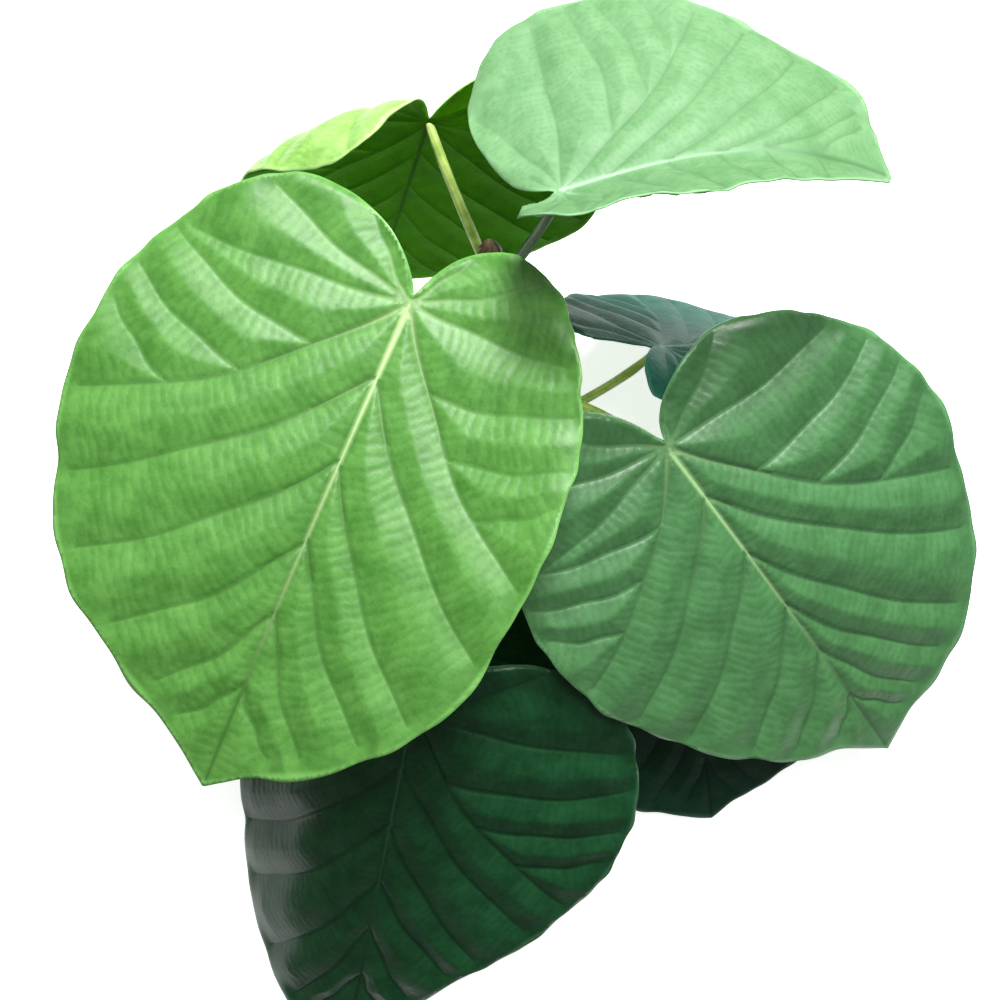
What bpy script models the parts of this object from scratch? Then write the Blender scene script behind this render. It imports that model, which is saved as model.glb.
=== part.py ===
"""A cut leafy shoot of an umbrella fig, lying on a level floor.

One green stem carries seven heart-shaped leaves and ends in a brown bud. Each leaf is a petiole,
which is one tapering limb, and a blade, which is a thin curved plate with a notch at its base.
Metres, +Z up. The floor is z = 0, and the origin is below the middle of the shoot's bounding box.
"""

import math
from dataclasses import dataclass

import bmesh
import bpy
import numpy as np
from mathutils import Matrix, Vector

COLLECTION_NAME = "umbrella_fig_shoot"
CLEARANCE = 0.0003
WELD_DISTANCE = 0.00001

# The sizes below are measured from a working origin. The whole shoot is then moved by this much.
CENTRE_OFFSET = (-0.0248, 0.0437, 0.0)

STEM_RADIUS_AT_CUT = 0.0066
STEM_RADIUS_AT_BUD = 0.0052
STEM_ROUTE = (
    (-0.0096, -0.0720, 0.0070),
    (-0.0030, -0.0300, 0.0260),
    (0.0015, 0.0150, 0.0560),
    (0.0020, 0.0620, 0.0860),
    (0.0000, 0.1010, 0.1160),
    (-0.0045, 0.1270, 0.1470),
)
STEM_STEPS = 30

BUD_RADIUS = 0.0068
BUD_LENGTH = 0.017
BUD_SIDES = 20

PETIOLE_RADIUS_AT_STEM = 0.0032
PETIOLE_RADIUS_AT_BLADE = 0.0025
PETIOLE_STEPS = 16
LEAVE_ALONG_STEM = 0.3
ARRIVE_UPRIGHT = 0.35

BLADE_THICKNESS_SHARE = 0.0105
BLADE_SPOKES = 44
BLADE_RINGS = (0.0, 0.06, 0.24, 0.44, 0.63, 0.82, 1.0)
SPOKE_CROWDING = 1.3

MARGIN_ANGLES = (0, 4, 12, 25, 45, 70, 95, 120, 140, 155, 168, 180)


@dataclass
class Leaf:
    """One leaf. The margin's radii are shares of the length, at MARGIN_ANGLES from the tip."""

    name: str
    length: float
    foot: float
    joint: tuple
    heading: float
    pitch: float
    roll: float
    left: tuple
    right: tuple
    bends: tuple
    colour: tuple
    waves: tuple = (0.0, 5, 0.0)
    sweep: float = 0.0
    rests: bool = False


LEAVES = (
    Leaf(
        name="front",
        length=0.268,
        foot=0.80,
        joint=(-0.0441, 0.0966, 0.213),
        heading=203.9,
        pitch=0,
        roll=0,
        left=(1.0, 0.95, 0.89, 0.79, 0.59, 0.43, 0.33, 0.265, 0.20, 0.125, 0.03, 0.016),
        right=(1.0, 0.95, 0.89, 0.84, 0.72, 0.56, 0.42, 0.29, 0.15, 0.065, 0.03, 0.016),
        bends=((0, 0.05, 0.20, -13), (-90, 0.006, 0.06, 16), (90, 0.02, 0.10, -8)),
        colour=(0.17, 0.38, 0.06),
    ),
    Leaf(
        name="right",
        length=0.253,
        foot=0.63,
        joint=(0.0882, 0.0278, 0.165),
        heading=140.7,
        pitch=-19,
        roll=0,
        left=(1.0, 0.96, 0.92, 0.86, 0.71, 0.56, 0.40, 0.27, 0.16, 0.08, 0.03, 0.016),
        right=(1.0, 0.92, 0.86, 0.75, 0.63, 0.50, 0.41, 0.33, 0.27, 0.17, 0.04, 0.016),
        bends=((0, 0.04, 0.20, -12), (-90, 0.03, 0.10, -8), (90, 0.03, 0.10, -10)),
        colour=(0.06, 0.22, 0.06),
    ),
    Leaf(
        name="bottom",
        length=0.246,
        foot=0.26,
        joint=(-0.0497, -0.1212, 0.10),
        heading=192,
        pitch=-20,
        roll=0,
        left=(1.0, 0.95, 0.83, 0.73, 0.67, 0.60, 0.51, 0.35, 0.20, 0.135, 0.05, 0.016),
        right=(1.0, 0.97, 0.96, 0.86, 0.65, 0.50, 0.41, 0.33, 0.22, 0.12, 0.04, 0.016),
        bends=((0, 0.04, 0.20, -8), (90, 0.01, 0.05, -40), (-90, 0.02, 0.10, -10)),
        colour=(0.02, 0.08, 0.03),
        rests=True,
    ),
    Leaf(
        name="lower",
        length=0.197,
        foot=0.10,
        joint=(0.0970, -0.0180, 0.055),
        heading=164,
        pitch=-12,
        roll=0,
        left=(1.0, 0.97, 0.96, 0.92, 0.78, 0.64, 0.50, 0.38, 0.26, 0.17, 0.04, 0.016),
        right=(1.0, 0.97, 0.94, 0.88, 0.78, 0.66, 0.53, 0.38, 0.26, 0.17, 0.04, 0.016),
        bends=((0, 0.02, 0.16, -8), (-90, 0.006, 0.04, -12)),
        colour=(0.02, 0.07, 0.05),
        sweep=0.014,
        rests=True,
    ),
    Leaf(
        name="side",
        length=0.152,
        foot=0.45,
        joint=(0.0898, 0.0858, 0.115),
        heading=78.9,
        pitch=-46.7,
        roll=-58,
        left=(1.0, 0.97, 0.92, 0.86, 0.76, 0.62, 0.48, 0.40, 0.33, 0.26, 0.08, 0.02),
        right=(1.0, 0.95, 0.90, 0.83, 0.72, 0.56, 0.40, 0.32, 0.32, 0.24, 0.06, 0.02),
        bends=((110, 0.006, 0.045, -60),),
        colour=(0.02, 0.07, 0.06),
        rests=True,
    ),
    Leaf(
        name="back",
        length=0.187,
        foot=0.88,
        joint=(-0.0373, 0.1977, 0.175),
        heading=35.7,
        pitch=-113.4,
        roll=-35.4,
        left=(1.0, 0.95, 0.90, 0.82, 0.70, 0.56, 0.50, 0.42, 0.32, 0.18, 0.04, 0.016),
        right=(1.0, 0.95, 0.90, 0.86, 0.79, 0.65, 0.50, 0.36, 0.24, 0.15, 0.04, 0.016),
        bends=((-150, 0.006, 0.05, -70), (-95, 0.03, 0.06, -35), (135, 0.01, 0.04, 50)),
        colour=(0.05, 0.15, 0.01),
        rests=True,
    ),
    Leaf(
        name="top",
        length=0.160,
        foot=0.87,
        joint=(0.0285, 0.1471, 0.235),
        heading=74,
        pitch=8,
        roll=-25,
        left=(1.0, 1.01, 1.02, 0.91, 0.81, 0.72, 0.63, 0.43, 0.23, 0.13, 0.04, 0.016),
        right=(1.0, 0.88, 0.72, 0.58, 0.52, 0.47, 0.40, 0.28, 0.17, 0.12, 0.04, 0.016),
        bends=((0, 0.02, 0.12, -30), (90, 0.0015, 0.006, 36), (120, 0.002, 0.012, 14)),
        colour=(0.30, 0.60, 0.25),
        sweep=0.006,
    ),
)


def smooth_curve(stations, values, at):
    """A cubic through (station, value) pairs, with each pair's slope taken from its neighbours."""
    stations = np.asarray(stations, float)
    values = np.asarray(values, float)
    slopes = np.gradient(values, stations, axis=0)
    i = np.clip(np.searchsorted(stations, at, side="right") - 1, 0, len(stations) - 2)
    width = stations[i + 1] - stations[i]
    t = (at - stations[i]) / width
    if values.ndim > 1:
        width = width[:, None]
        t = t[:, None]
    return (
        values[i] * (1 + 2 * t) * (1 - t) ** 2
        + slopes[i] * width * t * (1 - t) ** 2
        + values[i + 1] * t * t * (3 - 2 * t)
        + slopes[i + 1] * width * t * t * (t - 1)
    )


def margin_radius(leaf, angle):
    """How far the margin is from the petiole, at degrees from the tip, with the right side positive."""
    left = smooth_curve(MARGIN_ANGLES, leaf.left, np.abs(angle))
    right = smooth_curve(MARGIN_ANGLES, leaf.right, np.abs(angle))
    return leaf.length * np.where(angle < 0, left, right)


def bend(points, towards, start, width, degrees):
    """Rolls what lies beyond a straight line up by some degrees, over a strip of the given width.

    The line is square to the direction `towards`, in degrees from the tip, and `start` away from
    the petiole. Lengths in the blade are kept, as when a sheet of paper is curled.
    """
    direction = math.radians(towards)
    along = np.array([math.sin(direction), math.cos(direction)])
    beside = np.array([along[1], -along[0]])
    s = points[:, :2] @ beside
    d = points[:, :2] @ along - start
    z = points[:, 2]
    radius = width / math.radians(degrees)
    turn = math.radians(degrees) * np.clip(d / width, 0, 1)
    past = np.maximum(d - width, 0)
    reach = radius * np.sin(turn) + past * np.cos(turn) - z * np.sin(turn)
    rise = radius * (1 - np.cos(turn)) + past * np.sin(turn) + z * np.cos(turn)
    reach = np.where(d > 0, reach, d)
    rise = np.where(d > 0, rise, z)
    moved = np.outer(s, beside) + np.outer(reach + start, along)
    return np.column_stack([moved, rise])


def shape_blade(leaf, points):
    """Carries points of the flat blade to the curved one, still in the leaf's own axes."""
    angle = np.degrees(np.arctan2(points[:, 0], points[:, 1]))
    out = np.hypot(points[:, 0], points[:, 1]) / margin_radius(leaf, angle)
    height, count, phase = leaf.waves
    shaped = points.copy()
    shaped[:, 0] += leaf.sweep * (points[:, 1] / leaf.length) ** 2
    shaped[:, 2] += height * out**3 * np.sin(np.radians(angle * count + phase))
    for towards, start, width, degrees in leaf.bends:
        shaped = bend(shaped, towards, start, width, degrees)
    return shaped


def leaf_axes(leaf):
    """The leaf's own axes in the shoot: +Y along the midrib to the tip, +Z out of the upper face."""
    return (
        Matrix.Translation(leaf.joint)
        @ Matrix.Rotation(math.radians(-leaf.heading), 4, "Z")
        @ Matrix.Rotation(math.radians(leaf.pitch), 4, "X")
        @ Matrix.Rotation(math.radians(leaf.roll), 4, "Y")
    )


def make_material(name, colour, roughness):
    material = bpy.data.materials.new(name)
    material.use_nodes = True
    shader = material.node_tree.nodes["Principled BSDF"]
    shader.inputs["Base Color"].default_value = (*colour, 1.0)
    shader.inputs["Roughness"].default_value = roughness
    shader.inputs["Metallic"].default_value = 0.0
    return material


def add_object(name, mesh, collection, material):
    obj = bpy.data.objects.new(name, mesh)
    collection.objects.link(obj)
    mesh.materials.append(material)
    return obj


def curve_tube(name, points, radii, collection, material):
    """A round limb through the points, made a closed mesh. Its thickness follows the radii."""
    curve = bpy.data.curves.new(name, "CURVE")
    curve.dimensions = "3D"
    curve.bevel_depth = 1.0
    curve.bevel_resolution = 4
    curve.use_fill_caps = True
    spline = curve.splines.new("POLY")
    spline.points.add(len(points) - 1)
    for target, point, radius in zip(spline.points, points, radii):
        target.co = (*point, 1.0)
        target.radius = radius
    guide = bpy.data.objects.new(name + "_guide", curve)
    collection.objects.link(guide)
    bpy.context.view_layer.update()
    evaluated = guide.evaluated_get(bpy.context.evaluated_depsgraph_get())
    mesh = bpy.data.meshes.new_from_object(evaluated)
    mesh.name = name
    shell = bmesh.new()
    shell.from_mesh(mesh)
    bmesh.ops.remove_doubles(shell, verts=shell.verts, dist=WELD_DISTANCE)
    bmesh.ops.recalc_face_normals(shell, faces=shell.faces)
    shell.to_mesh(mesh)
    shell.free()
    tube = add_object(name, mesh, collection, material)
    tube.matrix_world = guide.matrix_world
    bpy.data.objects.remove(guide)
    bpy.data.curves.remove(curve)
    mesh.shade_smooth()
    mesh.set_sharp_from_angle(angle=math.radians(40))
    return tube


def slice_off(obj, point, normal):
    """Cuts a closed mesh flat at a plane, and drops what lies on the side the normal points to."""
    shell = bmesh.new()
    shell.from_mesh(obj.data)
    geometry = shell.verts[:] + shell.edges[:] + shell.faces[:]
    cut = bmesh.ops.bisect_plane(
        shell, geom=geometry, plane_co=point, plane_no=normal, clear_outer=True, dist=WELD_DISTANCE
    )
    rim = [part for part in cut["geom_cut"] if isinstance(part, bmesh.types.BMEdge)]
    bmesh.ops.holes_fill(shell, edges=rim)
    bmesh.ops.recalc_face_normals(shell, faces=shell.faces)
    shell.to_mesh(obj.data)
    shell.free()


def stem_point(share):
    """A point on the stem's axis, from the cut end at 0 to the bud at 1, and the stem's direction."""
    stations = np.linspace(0, 1, len(STEM_ROUTE))
    step = 0.001
    at = np.clip(np.array([share - step, share, share + step]), 0, 1)
    before, here, after = smooth_curve(stations, STEM_ROUTE, at)
    return Vector(here), Vector(after - before).normalized()


def stem_radius(share):
    return STEM_RADIUS_AT_CUT + (STEM_RADIUS_AT_BUD - STEM_RADIUS_AT_CUT) * share


def make_stem(name, collection, material, grown=0.0, overrun=0.0):
    """The stem, or a fatter and longer copy of it that cuts a petiole's foot clear of the stem."""
    shares = np.linspace(0, 1, STEM_STEPS)
    points = [stem_point(share)[0] for share in shares]
    radii = [stem_radius(share) + grown for share in shares]
    if overrun:
        points[0] = points[0] - stem_point(0)[1] * overrun
        points[-1] = points[-1] + stem_point(1)[1] * overrun
    return curve_tube(name, points, radii, collection, material)


def make_bud(collection, material):
    """The rounded end bud: a turned profile, set on the stem's tip with a small gap."""
    profile = bmesh.new()
    outline = [profile.verts.new((0.0, 0.0, 0.0))]
    steps = 10
    for i in range(steps + 1):
        share = i / steps
        width = BUD_RADIUS * math.sin(math.pi * (0.20 + 0.80 * share)) ** 0.8
        outline.append(profile.verts.new((width if i < steps else 0.0, 0.0, BUD_LENGTH * share)))
    for low, high in zip(outline[:-1], outline[1:]):
        profile.edges.new((high, low))
    mesh = bpy.data.meshes.new("bud")
    profile.to_mesh(mesh)
    profile.free()
    bud = add_object("bud", mesh, collection, material)
    screw = bud.modifiers.new("turn", "SCREW")
    screw.steps = BUD_SIDES
    screw.render_steps = BUD_SIDES
    screw.use_merge_vertices = True
    screw.merge_threshold = WELD_DISTANCE
    tip, direction = stem_point(1)
    bud.location = tip + direction * CLEARANCE
    bud.rotation_euler = direction.to_track_quat("Z", "Y").to_euler()
    return bud


def make_blade(leaf, collection, material):
    """A disc of spokes and rings round the petiole's end, curved by the leaf's bends and thickened."""
    sheet = bmesh.new()
    bmesh.ops.create_grid(sheet, x_segments=BLADE_SPOKES, y_segments=len(BLADE_RINGS) - 1, size=1.0)
    grid = np.array([vert.co for vert in sheet.verts])
    angle = 180.0 * np.sign(grid[:, 0]) * np.abs(grid[:, 0]) ** SPOKE_CROWDING
    ring = np.interp(grid[:, 1], np.linspace(-1, 1, len(BLADE_RINGS)), BLADE_RINGS)
    radius = margin_radius(leaf, angle) * ring
    flat = np.column_stack(
        [radius * np.sin(np.radians(angle)), radius * np.cos(np.radians(angle)), 0 * radius]
    )
    for vert, place in zip(sheet.verts, shape_blade(leaf, flat)):
        vert.co = place
    bmesh.ops.remove_doubles(sheet, verts=sheet.verts, dist=WELD_DISTANCE)
    bmesh.ops.recalc_face_normals(sheet, faces=sheet.faces)
    sheet.normal_update()
    middle = min(sheet.faces, key=lambda face: face.calc_center_median().length)
    if middle.normal.z < 0:
        bmesh.ops.reverse_faces(sheet, faces=sheet.faces)
    mesh = bpy.data.meshes.new("blade_" + leaf.name)
    sheet.to_mesh(mesh)
    sheet.free()
    mesh.shade_smooth()
    blade = add_object("blade_" + leaf.name, mesh, collection, material)
    solidify = blade.modifiers.new("thickness", "SOLIDIFY")
    solidify.thickness = BLADE_THICKNESS_SHARE * leaf.length
    solidify.offset = -1.0
    return blade


def make_petiole(leaf, cutter, collection, material):
    """A tapering limb from the stem to the blade's underside, cut clear of both."""
    axes = leaf_axes(leaf)
    upward = axes.to_3x3() @ Vector((0, 0, 1))
    joint = Vector(leaf.joint)
    foot, stem_direction = stem_point(leaf.foot)
    chord = joint - foot
    straight = chord.normalized()
    leave = (straight + stem_direction * LEAVE_ALONG_STEM).normalized() * chord.length * 0.33
    arrive = (straight + upward * ARRIVE_UPRIGHT).normalized() * chord.length * 0.33
    points = []
    radii = []
    for i in range(PETIOLE_STEPS + 1):
        t = i / PETIOLE_STEPS
        weights = ((1 - t) ** 3, 3 * t * (1 - t) ** 2, 3 * t * t * (1 - t), t**3)
        handles = (foot, foot + leave, joint - arrive, joint)
        points.append(sum((handle * weight for handle, weight in zip(handles, weights)), Vector()))
        radii.append(PETIOLE_RADIUS_AT_STEM + (PETIOLE_RADIUS_AT_BLADE - PETIOLE_RADIUS_AT_STEM) * t)
    points.append(joint + arrive.normalized() * PETIOLE_RADIUS_AT_BLADE * 3)
    radii.append(PETIOLE_RADIUS_AT_BLADE)
    petiole = curve_tube("petiole_" + leaf.name, points, radii, collection, material)
    depth = BLADE_THICKNESS_SHARE * leaf.length + CLEARANCE
    slice_off(petiole, joint - upward * depth, upward)
    clear = petiole.modifiers.new("clear_of_stem", "BOOLEAN")
    clear.operation = "DIFFERENCE"
    clear.object = cutter
    return petiole


def settle(leaf, blade):
    """Lowers or lifts a leaf that rests on the floor, so that its lowest point just meets it."""
    bpy.context.view_layer.update()
    evaluated = blade.evaluated_get(bpy.context.evaluated_depsgraph_get())
    lowest = min((blade.matrix_world @ vert.co).z for vert in evaluated.data.vertices)
    x, y, z = leaf.joint
    leaf.joint = (x, y, z - lowest)
    blade.matrix_world = leaf_axes(leaf)


def make_shoot():
    for old in list(bpy.data.objects):
        bpy.data.objects.remove(old)
    collection = bpy.data.collections.new(COLLECTION_NAME)
    cutters = bpy.data.collections.new("cutters")
    bpy.context.scene.collection.children.link(collection)
    bpy.context.scene.collection.children.link(cutters)
    bark = make_material("green_bark", (0.20, 0.26, 0.08), 0.6)
    bud_skin = make_material("bud_skin", (0.10, 0.04, 0.03), 0.5)
    stalk = make_material("stalk", (0.40, 0.50, 0.12), 0.45)

    make_stem("stem", collection, bark)
    make_bud(collection, bud_skin)
    cutter = make_stem("stem_clearance", cutters, bark, grown=CLEARANCE, overrun=0.01)
    cutter.hide_render = True
    cutter.display_type = "WIRE"
    for leaf in LEAVES:
        skin = make_material("blade_" + leaf.name, leaf.colour, 0.4)
        blade = make_blade(leaf, collection, skin)
        blade.matrix_world = leaf_axes(leaf)
        if leaf.rests:
            settle(leaf, blade)
        make_petiole(leaf, cutter, collection, stalk)
    for obj in bpy.data.objects:
        obj.matrix_world = Matrix.Translation(CENTRE_OFFSET) @ obj.matrix_world


make_shoot()
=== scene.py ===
# %% [markdown]
# # A cut leafy shoot of an umbrella fig
# The shoot lies on a white sheet and is seen from straight above. Seven heart-shaped leaves hide most of
# its stem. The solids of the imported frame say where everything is, and this lesson dresses them: each leaf
# gets its veins, its quilted surface and its own green, and the stem, stalks and bud get their skins.

import math
from dataclasses import dataclass

import bmesh
import bpy
import numpy as np
from mathutils import Matrix, Vector
from mathutils.geometry import delaunay_2d_cdt
from mathutils.kdtree import KDTree


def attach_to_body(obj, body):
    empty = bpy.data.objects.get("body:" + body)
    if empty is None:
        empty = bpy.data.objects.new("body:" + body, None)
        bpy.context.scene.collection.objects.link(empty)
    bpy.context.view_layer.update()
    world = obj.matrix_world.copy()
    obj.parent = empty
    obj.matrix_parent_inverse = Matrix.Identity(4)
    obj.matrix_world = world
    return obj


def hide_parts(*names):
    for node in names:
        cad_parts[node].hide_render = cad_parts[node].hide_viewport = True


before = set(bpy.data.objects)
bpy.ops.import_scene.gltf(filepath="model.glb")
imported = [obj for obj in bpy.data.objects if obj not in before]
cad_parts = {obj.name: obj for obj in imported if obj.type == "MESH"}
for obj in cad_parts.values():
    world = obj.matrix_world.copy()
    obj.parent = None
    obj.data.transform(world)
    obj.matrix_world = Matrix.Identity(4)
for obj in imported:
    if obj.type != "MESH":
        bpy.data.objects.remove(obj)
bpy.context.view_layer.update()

# %% [markdown]
# ## The camera
# The picture was taken from straight above, so the camera looks down along -Z with the picture's top
# towards +Y. A camera without any rotation does just that. A normal lens a little under a metre up gives
# the same overlaps between near and far leaves. The frame's origin is below the middle of the whole shoot,
# and the picture's middle lies a little to the left of it and further up.

# %% Camera
PICTURE_MIDDLE = Vector((-0.0248, 0.0437, 0.0))
CAMERA_HEIGHT = 0.894
LENS_MM = 50.0
SENSOR_MM = 36.0

camera_data = bpy.data.cameras.new("camera")
camera_data.lens = LENS_MM
camera_data.sensor_width = SENSOR_MM
camera = bpy.data.objects.new("camera", camera_data)
camera.location = PICTURE_MIDDLE + Vector((0, 0, CAMERA_HEIGHT))
bpy.context.scene.collection.objects.link(camera)
bpy.context.scene.camera = camera
print("camera is", CAMERA_HEIGHT, "m up")

# %% [markdown]
# ## Shader maths as plain Python
# A material's pattern is arithmetic on numbers that change from place to place. Wiring each Math node by
# hand is hard to read, so a small class wraps a socket, and + and * add the nodes.

# %% Sockets that add up


class Number:
    """One output socket. Arithmetic on it adds Math nodes to the same tree."""

    def __init__(self, paint, socket):
        self.paint = paint
        self.socket = socket

    def __add__(self, other):
        return self.paint.maths("ADD", self, other)

    def __mul__(self, other):
        return self.paint.maths("MULTIPLY", self, other)

    __radd__ = __add__
    __rmul__ = __mul__


print("sockets can be added and multiplied")

# %% [markdown]
# ## One method for every other node
# A node has a type, settings that are chosen first, and sockets that take a value or a link. One method
# takes all three, so a new kind of node needs no new wiring code. Where a node has several sockets of one
# name, as the Mix node has for each type that it mixes, they are told apart by number.

# %% A material that makes its own nodes
MIX_SHARE = 0
MIX_COLOURS = (6, 7)
MIX_RESULT = 2
ATTRIBUTE_NUMBER = 2
OBJECT_PLACE = 3


class Paint:
    """A material. Its method node makes any node, and the others name the kinds used here."""

    def __init__(self, name):
        self.material = bpy.data.materials.new(name)
        self.material.use_nodes = True
        self.tree = self.material.node_tree
        self.shader = self.tree.nodes["Principled BSDF"]

    def feed(self, socket, value):
        """Links a Number to a socket, or sets a plain value on it."""
        if isinstance(value, Number):
            self.tree.links.new(value.socket, socket)
        else:
            socket.default_value = value

    def node(self, kind, settings=None, values=None, output=0):
        made = self.tree.nodes.new(kind)
        for key, value in (settings or {}).items():
            setattr(made, key, value)
        for key, value in (values or {}).items():
            self.feed(made.inputs[key], value)
        return Number(self, made.outputs[output])

    def maths(self, operation, a, b):
        return self.node("ShaderNodeMath", {"operation": operation}, {0: a, 1: b})

    def attribute(self, name):
        return self.node("ShaderNodeAttribute", {"attribute_name": name}, output=ATTRIBUTE_NUMBER)

    def noise(self, scale, detail=3.0, roughness=0.5):
        place = self.node("ShaderNodeTexCoord", output=OBJECT_PLACE)
        values = {"Vector": place, "Scale": scale, "Detail": detail, "Roughness": roughness}
        return self.node("ShaderNodeTexNoise", values=values)

    def between(self, value, low, high):
        """0 below low, 1 above high and a smooth step between them."""
        settings = {"interpolation_type": "SMOOTHSTEP"}
        return self.node("ShaderNodeMapRange", settings, {0: value, 1: low, 2: high})

    def mix(self, share, colour_a, colour_b):
        """A mix of two colours, which a Math node would turn grey."""
        values = {MIX_SHARE: share}
        for key, colour in zip(MIX_COLOURS, (colour_a, colour_b)):
            values[key] = colour if isinstance(colour, Number) else (*colour, 1.0)
        return self.node("ShaderNodeMix", {"data_type": "RGBA"}, values, MIX_RESULT)

    def surface(self, colour, rough, bump_strength, bump_depth, bump):
        """Feeds the shader's colour and roughness, and a bump of the given depth in metres."""
        values = {"Strength": bump_strength, "Distance": bump_depth, "Height": bump}
        self.feed(self.shader.inputs["Base Color"], colour)
        self.feed(self.shader.inputs["Roughness"], rough)
        self.feed(self.shader.inputs["Normal"], self.node("ShaderNodeBump", values=values))


def shade(share, colour):
    """A plain colour made darker or lighter."""
    return tuple(share * part for part in colour)


print("materials can make their nodes")

# %% [markdown]
# ## The seven leaves
# Each leaf is a flat heart, drawn by its margin's radii round the stalk's end, which is then curled over
# straight lines like a sheet of paper. The same sizes and places made the solids. What is new here is how
# each leaf looks: its greens, how waxy it is, and how strongly its surface is quilted.

# %% What a leaf is
MARGIN_ANGLES = (0, 4, 12, 25, 45, 70, 95, 120, 140, 155, 168, 180)


@dataclass
class Leaf:
    """One leaf, in metres and degrees.

    joint is where its stalk ends, measured from below the picture's middle, and heading is the way its
    tip points, clockwise from the picture's top. pitch and roll then tilt it about its own axes.
    The margin's radii are shares of the length, at MARGIN_ANGLES from the tip. Each bend has a direction,
    a start, a width and an angle. sweep moves the tip sideways. rough, shine, relief, rungs and ruffle
    say how waxy, quilted, ribbed and wavy the leaf is.
    """

    name: str
    length: float
    joint: tuple
    heading: float
    pitch: float
    roll: float
    left: tuple
    right: tuple
    bends: tuple
    slot: str
    dark: tuple
    light: tuple
    vein: tuple
    under: tuple
    sweep: float = 0.0
    rough: float = 0.42
    shine: float = 0.5
    relief: float = 1.0
    rungs: float = 1.0
    ruffle: float = 1.0


print("a margin is given at", len(MARGIN_ANGLES), "angles on each side")

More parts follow.
